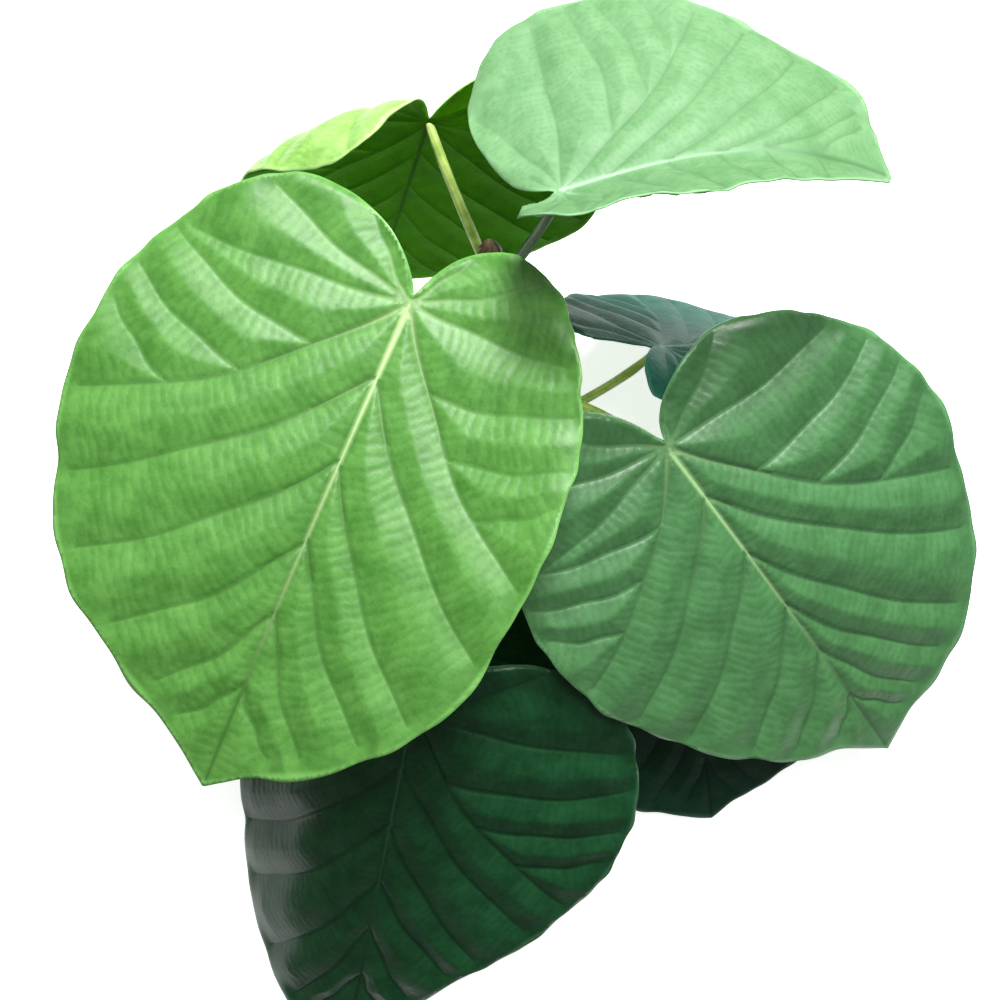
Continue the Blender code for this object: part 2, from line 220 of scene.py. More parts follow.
# %% The leaves of this shoot
LEAVES = (
    Leaf(
        name="front",
        length=0.268,
        joint=(-0.0441, 0.0966, 0.213),
        heading=203.9,
        pitch=0,
        roll=0,
        left=(1.0, 0.95, 0.89, 0.79, 0.59, 0.43, 0.33, 0.265, 0.20, 0.125, 0.03, 0.016),
        right=(1.0, 0.95, 0.89, 0.84, 0.72, 0.56, 0.42, 0.29, 0.15, 0.065, 0.03, 0.016),
        bends=((0, 0.05, 0.20, -13), (-90, 0.006, 0.06, 16), (90, 0.02, 0.10, -8)),
        slot="leaf_bright_green",
        dark=(0.038, 0.158, 0.014),
        light=(0.104, 0.290, 0.052),
        vein=(0.42, 0.62, 0.26),
        under=(0.12, 0.27, 0.05),
    ),
    Leaf(
        name="right",
        length=0.253,
        joint=(0.0882, 0.0278, 0.165),
        heading=140.7,
        pitch=-19,
        roll=0,
        left=(1.0, 0.96, 0.92, 0.86, 0.71, 0.56, 0.40, 0.27, 0.16, 0.08, 0.03, 0.016),
        right=(1.0, 0.92, 0.86, 0.75, 0.63, 0.50, 0.41, 0.33, 0.27, 0.17, 0.04, 0.016),
        bends=((0, 0.04, 0.20, -12), (-90, 0.03, 0.10, -8), (90, 0.03, 0.10, -10)),
        slot="leaf_mid_green",
        dark=(0.030, 0.124, 0.030),
        light=(0.068, 0.215, 0.068),
        vein=(0.30, 0.52, 0.22),
        under=(0.07, 0.17, 0.04),
        rough=0.36,
        shine=0.8,
        relief=1.3,
    ),
    Leaf(
        name="bottom",
        length=0.246,
        joint=(-0.0497, -0.1212, 0.1064),
        heading=192,
        pitch=-20,
        roll=0,
        left=(1.0, 0.95, 0.83, 0.73, 0.67, 0.60, 0.51, 0.35, 0.20, 0.135, 0.05, 0.016),
        right=(1.0, 0.97, 0.96, 0.86, 0.65, 0.50, 0.41, 0.33, 0.22, 0.12, 0.04, 0.016),
        bends=((0, 0.04, 0.20, -8), (90, 0.01, 0.05, -40), (-90, 0.02, 0.10, -10)),
        slot="leaf_dark_green",
        dark=(0.003, 0.030, 0.008),
        light=(0.010, 0.066, 0.022),
        vein=(0.030, 0.110, 0.050),
        under=(0.04, 0.11, 0.03),
        rough=0.24,
        shine=0.2,
        relief=1.5,
        rungs=0.35,
    ),
    Leaf(
        name="lower",
        length=0.197,
        joint=(0.0970, -0.0180, 0.0560),
        heading=164,
        pitch=-12,
        roll=0,
        left=(1.0, 0.97, 0.96, 0.92, 0.78, 0.64, 0.50, 0.38, 0.26, 0.17, 0.04, 0.016),
        right=(1.0, 0.97, 0.94, 0.88, 0.78, 0.66, 0.53, 0.38, 0.26, 0.17, 0.04, 0.016),
        bends=((0, 0.02, 0.16, -8), (-90, 0.006, 0.04, -12)),
        slot="leaf_blue_green",
        dark=(0.003, 0.024, 0.010),
        light=(0.008, 0.046, 0.022),
        vein=(0.040, 0.110, 0.075),
        under=(0.04, 0.11, 0.04),
        sweep=0.014,
        rough=0.36,
        shine=0.15,
        rungs=0.5,
    ),
    Leaf(
        name="side",
        length=0.152,
        joint=(0.0898, 0.0858, 0.1189),
        heading=78.9,
        pitch=-46.7,
        roll=-58,
        left=(1.0, 0.97, 0.92, 0.86, 0.76, 0.62, 0.48, 0.40, 0.33, 0.26, 0.08, 0.02),
        right=(1.0, 0.95, 0.90, 0.83, 0.72, 0.56, 0.40, 0.32, 0.32, 0.24, 0.06, 0.02),
        bends=((110, 0.006, 0.045, -60),),
        slot="leaf_blue_green",
        dark=(0.006, 0.068, 0.049),
        light=(0.022, 0.126, 0.093),
        vein=(0.16, 0.36, 0.26),
        under=(0.04, 0.11, 0.05),
        rough=0.50,
        shine=0.15,
        relief=1.3,
    ),
    Leaf(
        name="back",
        length=0.187,
        joint=(-0.0373, 0.1977, 0.1716),
        heading=35.7,
        pitch=-113.4,
        roll=-35.4,
        left=(1.0, 0.95, 0.90, 0.82, 0.70, 0.56, 0.50, 0.42, 0.32, 0.18, 0.04, 0.016),
        right=(1.0, 0.95, 0.90, 0.86, 0.79, 0.65, 0.50, 0.36, 0.24, 0.15, 0.04, 0.016),
        bends=((-150, 0.006, 0.05, -70), (-95, 0.03, 0.06, -35), (135, 0.01, 0.04, 50)),
        slot="leaf_olive_green",
        dark=(0.16, 0.36, 0.05),
        light=(0.36, 0.62, 0.18),
        vein=(0.45, 0.66, 0.30),
        # This underside green is partly the leaf's own olive and partly painted light shining through the
        # thin blade.
        under=(0.044, 0.178, 0.001),
        ruffle=0.6,
    ),
    Leaf(
        name="top",
        length=0.160,
        joint=(0.0285, 0.1471, 0.235),
        heading=74,
        pitch=8,
        roll=-25,
        left=(1.0, 1.01, 1.02, 0.91, 0.81, 0.72, 0.63, 0.43, 0.23, 0.13, 0.04, 0.016),
        right=(1.0, 0.88, 0.72, 0.58, 0.52, 0.47, 0.40, 0.28, 0.17, 0.12, 0.04, 0.016),
        bends=((0, 0.02, 0.12, -30), (90, 0.0015, 0.006, 36), (120, 0.002, 0.012, 14)),
        slot="leaf_mint_green",
        dark=(0.088, 0.222, 0.080),
        light=(0.152, 0.305, 0.138),
        vein=(0.34, 0.56, 0.34),
        under=(0.20, 0.42, 0.14),
        sweep=0.006,
        rough=0.5,
        shine=0.3,
    ),
)
FULL_LENGTH = LEAVES[0].length
print("leaves:", ", ".join(leaf.name for leaf in LEAVES))

# %% [markdown]
# ## The margin
# A heart can be cut from a grid, or drawn as a closed curve. A curve through a few radii is easier to
# match to a real leaf, because each radius is one length that can be read from it.

# %% Margin


def smooth_curve(stations, values, at):
    """A cubic through (station, value) pairs, with each pair's slope taken from its neighbours."""
    stations = np.asarray(stations, float)
    values = np.asarray(values, float)
    slopes = np.gradient(values, stations)
    i = np.clip(np.searchsorted(stations, at, side="right") - 1, 0, len(stations) - 2)
    width = stations[i + 1] - stations[i]
    t = (at - stations[i]) / width
    return (
        values[i] * (1 + 2 * t) * (1 - t) ** 2
        + slopes[i] * width * t * (1 - t) ** 2
        + values[i + 1] * t * t * (3 - 2 * t)
        + slopes[i + 1] * width * t * t * (t - 1)
    )


def margin_radius(leaf, angle):
    """How far the margin is from the stalk, at degrees from the tip, with the right side positive."""
    left = smooth_curve(MARGIN_ANGLES, leaf.left, np.abs(angle))
    right = smooth_curve(MARGIN_ANGLES, leaf.right, np.abs(angle))
    return leaf.length * np.where(angle < 0, left, right)


def inside_share(leaf, points):
    """How far out each point lies, as a share of the margin's distance in its direction."""
    angle = np.degrees(np.arctan2(points[:, 0], points[:, 1]))
    return np.hypot(points[:, 0], points[:, 1]) / margin_radius(leaf, angle)


print("front blade is", round(float(margin_radius(LEAVES[0], np.array(0.0))), 3), "m long")

# %% [markdown]
# ## From a flat heart to a curled leaf
# A real blade bends without stretching much. Moving points straight up would stretch it, so each bend
# rolls what lies beyond a line, which keeps lengths within the leaf. These are the rules that shaped the
# solids, so the fine leaf falls where the plain one is.

# %% Bends


def bend(points, towards, start, width, degrees):
    """Rolls what lies beyond a straight line up by some degrees, over a strip of the given width."""
    direction = math.radians(towards)
    along = np.array([math.sin(direction), math.cos(direction)])
    beside = np.array([along[1], -along[0]])
    s = points[:, :2] @ beside
    d = points[:, :2] @ along - start
    z = points[:, 2]
    radius = width / math.radians(degrees)
    turn = math.radians(degrees) * np.clip(d / width, 0, 1)
    past = np.maximum(d - width, 0)
    reach = radius * np.sin(turn) + past * np.cos(turn) - z * np.sin(turn)
    rise = radius * (1 - np.cos(turn)) + past * np.sin(turn) + z * np.cos(turn)
    reach = np.where(d > 0, reach, d)
    rise = np.where(d > 0, rise, z)
    moved = np.outer(s, beside) + np.outer(reach + start, along)
    return np.column_stack([moved, rise])


def shape_blade(leaf, points):
    """Carries points of the flat blade to the curved one, still in the leaf's own axes."""
    shaped = points.copy()
    shaped[:, 0] += leaf.sweep * (points[:, 1] / leaf.length) ** 2
    for towards, start, width, degrees in leaf.bends:
        shaped = bend(shaped, towards, start, width, degrees)
    return shaped


def leaf_axes(leaf):
    """The leaf's own axes in the scene: +Y along the midrib to the tip, +Z out of the upper face."""
    return (
        Matrix.Translation(PICTURE_MIDDLE + Vector(leaf.joint))
        @ Matrix.Rotation(math.radians(-leaf.heading), 4, "Z")
        @ Matrix.Rotation(math.radians(leaf.pitch), 4, "X")
        @ Matrix.Rotation(math.radians(leaf.roll), 4, "Y")
    )


print("bends in all:", sum(len(leaf.bends) for leaf in LEAVES))

# %% [markdown]
# ## One vein
# A vein is a valley in the upper face. It could be painted, but its shadow is what shows, so it is kept as
# a sampled curve with a depth and a width, which the relief below reads. It bows, wanders a little, and
# grows shallow and narrow towards its end.

# %% A vein's curve
VEIN_STEP = 0.0006
FEWEST_SAMPLES = 6
WANDER_TURNS = 9
END_DEPTH_LOSS = 0.65
END_DEPTH_CURVE = 1.5
END_WIDTH_LOSS = 0.45


@dataclass
class Groove:
    """How deep and wide a kind of vein is sunk into a full-size leaf, in metres. Rank 0 is the midrib."""

    depth: float
    width: float
    rank: int


@dataclass
class Vein:
    """A sampled vein: its points in the flat leaf, and how deep and wide its groove is along it."""

    points: np.ndarray
    depth: np.ndarray
    width: np.ndarray
    rank: int


def full_share(leaf):
    """The leaf's size as a share of the largest leaf's."""
    return leaf.length / FULL_LENGTH


def draw_vein(groove, scale, start, end, bow=0.0, wander=0.0, phase=0.0):
    """A bowed curve between two points of the flat leaf."""
    chord = end - start
    length = float(np.hypot(*chord))
    across = np.array([-chord[1], chord[0]])
    t = np.linspace(0, 1, max(FEWEST_SAMPLES, int(length / VEIN_STEP)))[:, None]
    points = start + chord * t + across * (bow * 4 * t * (1 - t))
    points += across / length * wander * np.sin(t * WANDER_TURNS + phase) * np.sin(np.pi * t)
    along = t[:, 0]
    depth = groove.depth * scale * (1 - END_DEPTH_LOSS * along**END_DEPTH_CURVE)
    width = groove.width * scale * (1 - END_WIDTH_LOSS * along)
    return Vein(points, depth, width, groove.rank)


print("a vein has a point every", VEIN_STEP * 1000, "mm")

# %% [markdown]
# ## Where the veins run
# A fig's leaf has a midrib, two strong basal veins with branches on their outer side, a few short veins
# into each basal lobe, and side veins that leave the midrib at wide angles and curve towards the tip. Each
# vein could be drawn by hand, but a few angles give them all, and small random turns keep leaves unalike.

# %% Vein places
MIDRIB = Groove(depth=0.00105, width=0.0019, rank=0)
BASAL = Groove(depth=0.00095, width=0.0017, rank=1)
SIDE = Groove(depth=0.0009, width=0.0015, rank=1)
LOBE = Groove(depth=0.00062, width=0.0013, rank=2)
BRANCH = Groove(depth=0.0006, width=0.0013, rank=2)
MIDRIB_END = 0.985
VEIN_END = 0.955
LOBE_SHORTFALL = 0.03
BASAL_ANGLES = {-1: 45, 1: 53}
BRANCH_SHARES = (0.30, 0.52, 0.74)
FIRST_BRANCH_TURN = 33
NEXT_BRANCH_TURN = 9.5
LOBE_ANGLES = {-1: (88, 122, 150), 1: (84, 108, 136)}
SIDE_STARTS = (0.15, 0.31, 0.47, 0.62, 0.77)
SIDE_ANGLES = {-1: (34, 23, 15.5, 9.5, 5.2), 1: (41, 31, 20, 11.5, 6.0)}
BOWS = {"basal": 0.07, "branch": 0.06, "lobe": 0.03, "side": 0.055}
WANDERS = {"basal": 0.0015, "side": 0.0012, "fine": 0.001}
JITTERS = {"branch": 2, "lobe": 3, "side": 0.8, "start": 0.012}
PHASE_RANGE = 6


def polar(leaf, angle, share):
    """A point of the flat leaf at an angle from the tip and at a share of the margin's distance."""
    radius = float(margin_radius(leaf, np.array(float(angle)))) * share
    turn = math.radians(angle)
    return np.array([radius * math.sin(turn), radius * math.cos(turn)])


def jittered(rng, value, kind):
    """The value with a small random change of that kind."""
    return value + rng.uniform(-JITTERS[kind], JITTERS[kind])


def basal_veins(leaf, side, rng):
    """The strong vein from the stalk to the widest part of one side, and its branches."""
    scale = full_share(leaf)
    end = polar(leaf, side * BASAL_ANGLES[side], VEIN_END)
    wander = WANDERS["basal"] * scale
    phase = rng.uniform(0, PHASE_RANGE)
    basal = draw_vein(BASAL, scale, np.zeros(2), end, side * BOWS["basal"], wander, phase)
    veins = [basal]
    for number, share in enumerate(BRANCH_SHARES):
        start = basal.points[int(share * (len(basal.points) - 1))]
        angle = jittered(rng, BASAL_ANGLES[side] + FIRST_BRANCH_TURN - NEXT_BRANCH_TURN * number, "branch")
        end = polar(leaf, side * angle, VEIN_END)
        phase = rng.uniform(0, PHASE_RANGE)
        veins.append(draw_vein(BRANCH, scale, start, end, side * BOWS["branch"], WANDERS["fine"], phase))
    return veins


def lobe_veins(leaf, side, rng):
    """The short veins into one basal lobe."""
    scale = full_share(leaf)
    veins = []
    for angle in LOBE_ANGLES[side]:
        end = polar(leaf, side * jittered(rng, angle, "lobe"), VEIN_END - LOBE_SHORTFALL)
        phase = rng.uniform(0, PHASE_RANGE)
        veins.append(draw_vein(LOBE, scale, np.zeros(2), end, side * BOWS["lobe"], WANDERS["fine"], phase))
    return veins


def side_veins(leaf, side, rng):
    """The veins that leave the midrib on one side."""
    scale = full_share(leaf)
    veins = []
    for share, angle in zip(SIDE_STARTS, SIDE_ANGLES[side]):
        start = np.array([0.0, leaf.length * jittered(rng, share, "start")])
        end = polar(leaf, side * jittered(rng, angle, "side"), VEIN_END)
        wander = WANDERS["side"] * scale
        phase = rng.uniform(0, PHASE_RANGE)
        veins.append(draw_vein(SIDE, scale, start, end, side * BOWS["side"], wander, phase))
    return veins


def leaf_veins(leaf, rng):
    """All drawn veins of one leaf, the midrib first."""
    veins = [draw_vein(MIDRIB, full_share(leaf), np.zeros(2), polar(leaf, 0, MIDRIB_END))]
    for side in (-1, 1):
        veins += basal_veins(leaf, side, rng)
        veins += lobe_veins(leaf, side, rng)
        veins += side_veins(leaf, side, rng)
    return veins


print("a leaf has", len(leaf_veins(LEAVES[0], np.random.default_rng(1))), "drawn veins")

# %% [markdown]
# ## A real edge
# A leaf's margin is never a clean curve. Three waves of different lengths give it shallow bays and small
# nicks. They fade out at the tip and at the stalk, where a wave would cut into the blade.

# %% Outline
OUTLINE_SAMPLES = 3000
MARGIN_STEP = 0.0016
MARGIN_WAVES = ((0.006, 17), (0.004, 31), (0.002, 53))
CALM_AT_STALK = 25
CALM_AT_TIP = 6


def margin_outline(leaf, rng):
    """The margin as a closed loop of evenly spaced points."""
    fine = np.linspace(-180, 180, OUTLINE_SAMPLES, endpoint=False)
    radius = margin_radius(leaf, fine)
    phases = rng.uniform(0, 2 * math.pi, len(MARGIN_WAVES))
    turn = np.radians(fine)
    calm = np.clip((180 - np.abs(fine)) / CALM_AT_STALK, 0, 1) * np.clip(np.abs(fine) / CALM_AT_TIP, 0, 1)
    wave = sum(size * np.sin(count * turn + phase) for (size, count), phase in zip(MARGIN_WAVES, phases))
    radius = radius * (1 + leaf.ruffle * calm * wave)
    loop = np.column_stack([radius * np.sin(turn), radius * np.cos(turn)])
    gaps = np.linalg.norm(np.diff(loop, axis=0, append=loop[:1]), axis=1)
    travel = np.concatenate([[0], np.cumsum(gaps)])
    at = np.arange(0, travel[-1] - MARGIN_STEP * 0.5, MARGIN_STEP)
    closed = np.vstack([loop, loop[:1]])
    return np.column_stack([np.interp(at, travel, closed[:, k]) for k in (0, 1)])


print("the margin has a point every", MARGIN_STEP * 1000, "mm")

# %% [markdown]
# ## A mesh that follows its veins
# An even grid would blur the sharp valleys. So points are laid in rows on and beside each vein, and an
# even triangular field fills the rest. Where two veins meet, their rows crowd, so they are thinned out.

# %% Points of a blade
FIELD_STEP = 0.00155
FIELD_CLEARANCE = 0.72
ROW_STEP = 0.0012
ROW_OFFSETS = (0.0, 0.55, -0.55, 1.3, -1.3)
ROW_CLEARANCE = 0.62
MARGIN_CLEARANCE = 0.75


def grow_tree(points):
    """A search tree of points of the flat leaf."""
    tree = KDTree(len(points))
    for i, (x, y) in enumerate(points):
        tree.insert((x, y, 0.0), i)
    tree.balance()
    return tree


def nearest(tree, points):
    """The index of and the distance to the nearest stored point, for each point."""
    found = [tree.find((x, y, 0.0)) for x, y in points]
    return np.array([f[1] for f in found]), np.array([f[2] for f in found])


def vein_rows(veins):
    """Points on each vein and in rows beside it."""
    rows = []
    for vein in veins:
        tangent = np.gradient(vein.points, axis=0)
        tangent /= np.linalg.norm(tangent, axis=1)[:, None]
        normal = np.column_stack([-tangent[:, 1], tangent[:, 0]])
        pick = np.arange(0, len(vein.points), max(1, int(ROW_STEP / VEIN_STEP)))
        for offset in ROW_OFFSETS:
            rows.append((vein.points + normal * vein.width[:, None] * offset)[pick])
    return np.vstack(rows)


def thin_out(points, gap):
    """The points, less each one that lies closer than the gap to a point kept before it."""
    kept = []
    taken = {}
    for x, y in points:
        column, row = int(x // gap), int(y // gap)
        around = [(column + i, row + j) for i in (-1, 0, 1) for j in (-1, 0, 1)]
        near = [taken[cell] for cell in around if cell in taken]
        if all((x - a) ** 2 + (y - b) ** 2 > gap * gap for a, b in near):
            taken[(column, row)] = (x, y)
            kept.append((x, y))
    return np.array(kept)


def even_field(outline, step):
    """A triangular grid of points over the outline's box."""
    low, high = outline.min(0), outline.max(0)
    columns = np.arange(low[0], high[0], step)
    lines = np.arange(low[1], high[1], step * math.sqrt(3) / 2)
    x, y = np.meshgrid(columns, lines)
    x = x + step * 0.5 * (np.arange(len(lines)) % 2)[:, None]
    return np.column_stack([x.ravel(), y.ravel()])


def blade_points(leaf, veins, outline, step):
    """Rows beside the veins and an even field between them, none too near the margin."""
    rows = thin_out(vein_rows(veins), ROW_STEP * ROW_CLEARANCE)
    field = even_field(outline, step)
    field = field[inside_share(leaf, field) < 1.0]
    clear = nearest(grow_tree(rows), field)[1] > step * FIELD_CLEARANCE
    points = np.vstack([rows, field[clear]])
    points = points[inside_share(leaf, points) < 1.0]
    inner = nearest(grow_tree(outline), points)[1] > MARGIN_STEP * MARGIN_CLEARANCE
    return points[inner]


print("field step", FIELD_STEP * 1000, "mm")

# %% [markdown]
# ## Triangles
# A Delaunay triangulation joins the points with the least slender triangles that it can, and keeps only
# those inside the outline. It is far quicker than cutting a grid with a Boolean.

# %% Triangulation
SAME_POINT = 1e-7
KEEP_INSIDE = 1


def triangulate(leaf, veins, outline, step):
    """The flat blade's points, with the outline's first, and its triangles."""
    points = np.vstack([outline, blade_points(leaf, veins, outline, step)])
    flat = [Vector(point) for point in points]
    made = delaunay_2d_cdt(flat, [], [list(range(len(outline)))], KEEP_INSIDE, SAME_POINT)
    return np.array([point[:] for point in made[0]]), [face for face in made[2] if len(face) == 3]


print("points closer than", SAME_POINT, "m are one")

# %% [markdown]
# ## Relief
# Between its side veins the blade swells up like a quilt, each vein lies in a valley, and fine rungs cross
# from vein to vein. A height picture could give this, but it would have to be drawn first. Here the height
# of every point comes from how far it is from its nearest vein, and how far along that vein, so rungs
# cross the veins squarely.

# %% Smooth noise
NOISE_GRID = 64


def value_noise(points, size, seed):
    """Smooth noise from -1 to 1 over the plane, from random values on a square grid."""
    rng = np.random.default_rng(seed)
    table = rng.uniform(-1, 1, (NOISE_GRID, NOISE_GRID))
    scaled = points / size
    cell = np.floor(scaled).astype(int)
    t = scaled - cell
    t = t * t * (3 - 2 * t)
    x = [(cell[:, 0] + i) % NOISE_GRID for i in (0, 1)]
    y = [(cell[:, 1] + i) % NOISE_GRID for i in (0, 1)]
    low = table[x[0], y[0]] * (1 - t[:, 0]) + table[x[1], y[0]] * t[:, 0]
    high = table[x[0], y[1]] * (1 - t[:, 0]) + table[x[1], y[1]] * t[:, 0]
    return low * (1 - t[:, 1]) + high * t[:, 1]


print("noise repeats after", NOISE_GRID, "cells")

# %% Height of the upper face
QUILT_HEIGHT = 0.0034
QUILT_REACH = 0.011
QUILT_CURVE = 1.6
EDGE_QUILT = 0.35
EDGE_CALM = 0.10
EDGE_CALM_CURVE = 0.7
GROOVE_GAIN = 1.3
RUNG_DEPTH = 0.00030
RUNG_SPACING = 0.0052
RUNG_SHARPNESS = 3
RUNG_CLEARANCE = 0.002
RUNG_OFFSET = 0.013
RUNG_WANDER = 0.0022
RUNG_WANDER_SIZE = 0.011
RUNG_SEED_STEP = 5
UNEVEN_HEIGHT = 0.00035
UNEVEN_SIZE = 0.016
LIFT_HEIGHT = 0.0022
LIFT_WAVES = 9
LIFT_START = 0.72
RANK_STRENGTHS = np.array((1.0, 0.7, 0.4))


@dataclass
class Relief:
    """For each point: its height, how much it belongs to a vein or a rung, and its nearest vein."""

    height: np.ndarray
    vein: np.ndarray
    rung: np.ndarray
    rank: np.ndarray
    distance: np.ndarray


def blade_relief(leaf, veins, points, seed):
    """The relief of a blade over its smooth shape."""
    scale = full_share(leaf)
    depth = np.concatenate([vein.depth for vein in veins])
    width = np.concatenate([vein.width for vein in veins])
    rank = np.concatenate([np.full(len(vein.points), vein.rank) for vein in veins])
    travel = [np.arange(len(vein.points)) * VEIN_STEP + RUNG_OFFSET * i for i, vein in enumerate(veins)]
    index, distance = nearest(grow_tree(np.vstack([vein.points for vein in veins])), points)
    depth, width, rank, travel = depth[index], width[index], rank[index], np.concatenate(travel)[index]
    groove = np.exp(-((distance / width) ** 2))
    quilt = 1 - np.exp(-((distance / (QUILT_REACH * scale)) ** QUILT_CURVE))
    out = inside_share(leaf, points)
    calm = np.clip((1 - out) / EDGE_CALM, 0, 1) ** EDGE_CALM_CURVE
    height = QUILT_HEIGHT * scale * leaf.relief * quilt * (EDGE_QUILT + (1 - EDGE_QUILT) * calm)
    height -= GROOVE_GAIN * depth * groove * leaf.relief
    shift = RUNG_WANDER * value_noise(points, RUNG_WANDER_SIZE, seed + RUNG_SEED_STEP)
    rung = np.cos((travel + shift) / (RUNG_SPACING * scale) * 2 * math.pi)
    rung = np.clip(rung, 0, 1) ** RUNG_SHARPNESS * np.clip(distance / RUNG_CLEARANCE, 0, 1)
    height -= RUNG_DEPTH * rung * leaf.rungs * calm
    height += UNEVEN_HEIGHT * value_noise(points, UNEVEN_SIZE, seed) * calm
    lift = np.sin(np.arctan2(points[:, 0], points[:, 1]) * LIFT_WAVES + seed)
    edge_share = np.clip((out - LIFT_START) / (1 - LIFT_START), 0, 1)
    height += leaf.ruffle * LIFT_HEIGHT * scale * lift * edge_share**2
    return Relief(height, groove * RANK_STRENGTHS[rank], rung, rank, distance)


print("quilting stands", QUILT_HEIGHT * 1000, "mm high")

# %% [markdown]
# ## Leaf skins
# The upper face is a waxy green, mottled with lighter, yellower green, with painted shade in the vein
# valleys and across the rungs. The midrib is pale near the stalk. The underside is duller, with veins that
# stand out, and its veins, rungs and midrib get painted shade. Both faces have a pale rim, partly the
# margin's own paler green and partly a painted highlight where the curled margin catches light. A picture
# of a leaf would fix one leaf's colours, so the mottling is noise, and the mesh's own masks say where the
# veins are.

# %% Leaf materials
CLOUD_SCALE = 70.0
CLOUD_DETAIL = 5.0
CLOUD_ROUGHNESS = 0.65
CLOUD_RANGE = (0.28, 0.72)
CLOUD_SHARE = 0.75
FLECK_SCALE = 900.0
FLECK_DETAIL = 2.0
# RUNG_SHARE and VEIN_SHARE say how strongly painted shade darkens the rungs and the veins.
RUNG_SHARE = 0.32
RUNG_PAINTED_SHADE = 0.7
VEIN_SHARE = 0.75
VEIN_PAINTED_SHADE = 0.55
# The pale rim is partly the margin's own paler green and partly a painted highlight on the curled margin.
EDGE_SHARE = 0.7
EDGE_GAIN = 1.5
EDGE_PALENESS = 0.03
UNDER_LIGHT = 1.55
# The underside's midrib is darkened: painted shade on its shadow side.
UNDER_MIDRIB_PAINTED_SHADE = 0.5
UNDER_ROUGH = 0.2
UNDER_SHINE = 0.04
ROUGH_CHANGE = 0.10
ROUGH_SCALE = 60.0
PORE_SCALE = 420.0
PORE_ROUGHNESS = 0.6
PORE_STRENGTH = 0.25
PORE_DEPTH = 0.0004


def leaf_material(leaf, under):
    """The skin of one face of a leaf. The masks vein, midrib, rung and edge come from its mesh.
    The vein and rung masks and the underside's midrib darken it as painted shade.
    """
    paint = Paint("leaf_" + leaf.name + ("_under" if under else ""))
    dark = leaf.under if under else leaf.dark
    light = shade(UNDER_LIGHT, leaf.under) if under else leaf.light
    # On the underside the midrib colour is a darkened green, painted shade; on the upper face it is its own
    # pale green.
    midrib = shade(UNDER_MIDRIB_PAINTED_SHADE, dark) if under else leaf.vein
    rim = tuple(min(1.0, EDGE_GAIN * part + EDGE_PALENESS) for part in light)
    cloud = paint.between(paint.noise(CLOUD_SCALE, CLOUD_DETAIL, CLOUD_ROUGHNESS), *CLOUD_RANGE)
    flecks = paint.noise(FLECK_SCALE, FLECK_DETAIL)
    colour = paint.mix(cloud * CLOUD_SHARE + flecks * (1 - CLOUD_SHARE), dark, light)
    # Painted shade: the rungs are darkened as if their small creases lay in shadow.
    colour = paint.mix(paint.attribute("rung") * RUNG_SHARE, colour, shade(RUNG_PAINTED_SHADE, dark))
    # Painted shade: the veins are darkened as if their valleys lay in shadow, and the underside's veins get
    # the same darkening.
    colour = paint.mix(paint.attribute("vein") * VEIN_SHARE, colour, shade(VEIN_PAINTED_SHADE, dark))
    # The midrib mask lays that colour: painted shade under the leaf, the real pale midrib on top.
    colour = paint.mix(paint.attribute("midrib"), colour, midrib)
    # Pale rim: partly the margin's own paler green, partly a painted highlight where the curled margin
    # catches light.
    colour = paint.mix(paint.attribute("edge") * EDGE_SHARE, colour, rim)
    rough = leaf.rough + (UNDER_ROUGH if under else 0.0) + ROUGH_CHANGE * paint.noise(ROUGH_SCALE)
    pores = paint.noise(PORE_SCALE, roughness=PORE_ROUGHNESS)
    paint.surface(colour, rough, PORE_STRENGTH, PORE_DEPTH, pores)
    paint.shader.inputs["Specular IOR Level"].default_value = UNDER_SHINE if under else leaf.shine
    return paint.material


print("undersides are", UNDER_ROUGH, "rougher than upper faces")

# %% [markdown]
# ## Building a blade
# The triangulated heart becomes the upper face. A Solidify modifier would give the underside the same
# valleys, but a real underside has ribs there. So a second face lies a fraction of a millimetre below the
# first, lower still under each vein, and a strip round the margin closes the shell.

# %% Shells and masks
SHELL_THICKNESS = 0.0009
RIB_HEIGHT = 0.0011
JOINT_CALM = 0.006
MIDRIB_WIDTH = 0.0011
MIDRIB_START = 1.05
MIDRIB_FADE = 1.3
FAN_SHARE = 0.8
FAN_REACH = 0.10
EDGE_START = 0.985
EDGE_WIDTH = 0.012


def close_shell(name, upper, lower, triangles, rim):
    """A closed mesh from two matching faces, with a strip round the first rim points."""
    count = len(upper)
    faces = [tuple(face) for face in triangles]
    faces += [tuple(count + i for i in reversed(face)) for face in triangles]
    faces += [(i, i + count, (i + 1) % rim + count, (i + 1) % rim) for i in range(rim)]
    mesh = bpy.data.meshes.new(name)
    mesh.from_pydata(np.vstack([upper, lower]).tolist(), [], faces)
    shell = bmesh.new()
    shell.from_mesh(mesh)
    bmesh.ops.recalc_face_normals(shell, faces=shell.faces)
    shell.to_mesh(mesh)
    shell.free()
    return mesh


def add_masks(mesh, masks):
    """Stores a number for each point under each mask's name."""
    for name, values in masks.items():
        layer = mesh.attributes.new(name, "FLOAT", "POINT")
        layer.data.foreach_set("value", values.astype(np.float32))


